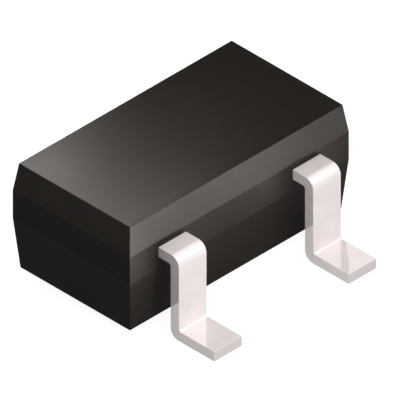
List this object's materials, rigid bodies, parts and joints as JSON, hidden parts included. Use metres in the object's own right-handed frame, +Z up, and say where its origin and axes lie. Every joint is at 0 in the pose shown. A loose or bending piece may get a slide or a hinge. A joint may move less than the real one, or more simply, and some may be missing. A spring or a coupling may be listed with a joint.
{
  "type": "voltage reference ic",
  "caption": "Small black moulded surface mount package with bent gull wing leads on both long sides, one side carrying two and the other a single middle one.",
  "frame": {"origin": "under the middle of the body, on the plane that the undersides of the three feet share", "axes": "+X along the body, -Y towards the side with two leads, +Y towards the single lead, +Z up through the top face"},
  "size_m": [0.0032, 0.0032, 0.0014],
  "materials": {
    "moulding_compound": "black filled epoxy, satin, fine moulded grain",
    "tin_plate": "bright matte tin plate over copper alloy strip",
    "silver_adhesive": "matte silver filled adhesive",
    "silicon": "polished silicon",
    "gold_wire": "bright drawn gold"
  },
  "bodies": {
    "root": {"moulded_body": "moulding_compound", "input_lead": "tin_plate", "output_lead": "tin_plate", "ground_lead": "tin_plate", "die_attach": "silver_adhesive", "die": "silicon", "input_bond_wire": "gold_wire", "output_bond_wire": "gold_wire", "ground_bond_wire": "gold_wire"}
  },
  "joints": []
}
